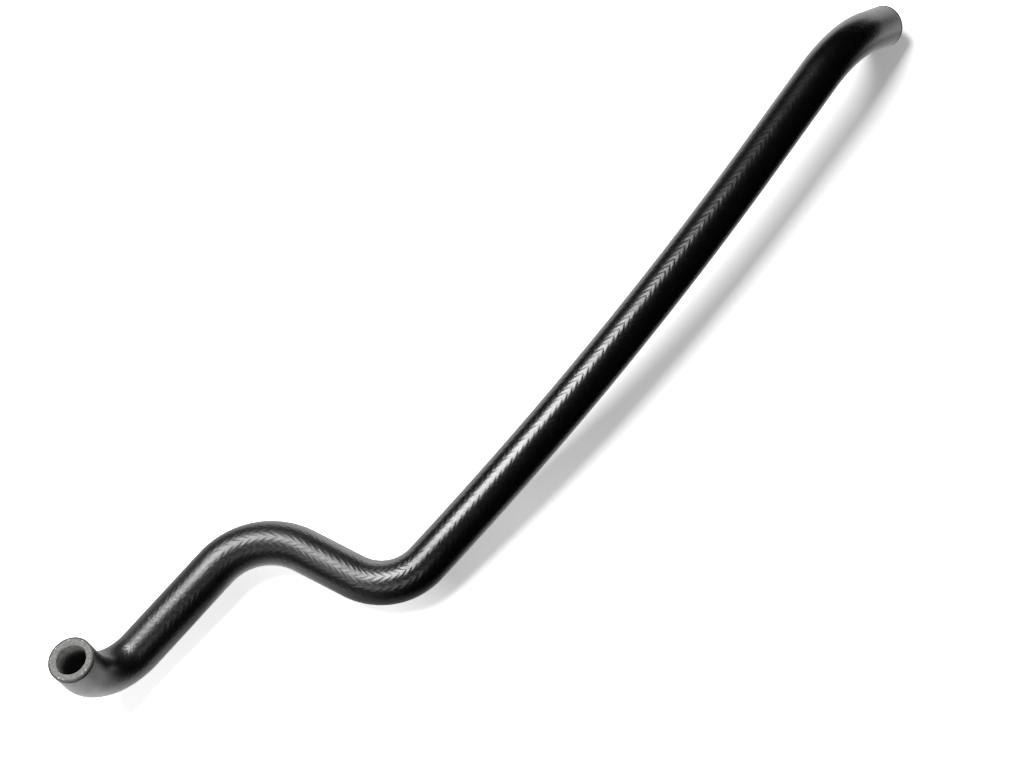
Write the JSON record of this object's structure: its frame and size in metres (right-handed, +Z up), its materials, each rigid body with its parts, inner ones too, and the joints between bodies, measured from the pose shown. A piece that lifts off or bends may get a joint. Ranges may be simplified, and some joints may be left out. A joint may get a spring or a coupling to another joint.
{
  "type": "radiator hose",
  "caption": "Moulded black rubber coolant hose with an upturned end leg, a short S and a long bowed run ending in a dipped leg; open at both cut ends.",
  "frame": {"origin": "on the floor under the middle of the hose's bounding box, as the hose lies at rest", "axes": "+X along the long run towards the far mouth, +Z up from the floor, +Y to the side that the near leg lies on"},
  "size_m": [0.6766, 0.1572, 0.0653],
  "materials": {
    "rubber": "satin black moulded cover with the knitted reinforcement showing through as fine chevrons"
  },
  "bodies": {
    "root": {"hose": "rubber"}
  },
  "joints": []
}
